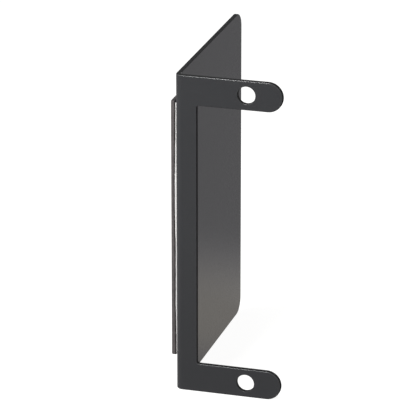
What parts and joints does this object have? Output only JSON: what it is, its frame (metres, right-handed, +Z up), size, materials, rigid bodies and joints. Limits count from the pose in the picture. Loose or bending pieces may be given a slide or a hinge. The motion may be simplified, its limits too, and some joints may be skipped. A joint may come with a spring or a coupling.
{
  "type": "fiber enclosure adapter bracket",
  "caption": "Folded black steel bracket: C-shaped front plate with round-ended eared tabs and a plain side plate, with a foam gasket strip along its outer face.",
  "frame": {"origin": "centre of the two rack holes, on the rear face of the ears", "axes": "+X along the ears towards their tips, +Y back from the front plate, +Z up along the front plate"},
  "size_m": [0.0468, 0.0889, 0.1324],
  "materials": {
    "powder_coated_steel": "satin black powder coat with a fine texture",
    "gasket_foam": "matt charcoal closed-cell foam",
    "foam_tape": "matt white foam"
  },
  "bodies": {
    "root": {"bracket": "powder_coated_steel", "gasket_strip": "gasket_foam", "mounting_tape": "foam_tape"}
  },
  "joints": []
}
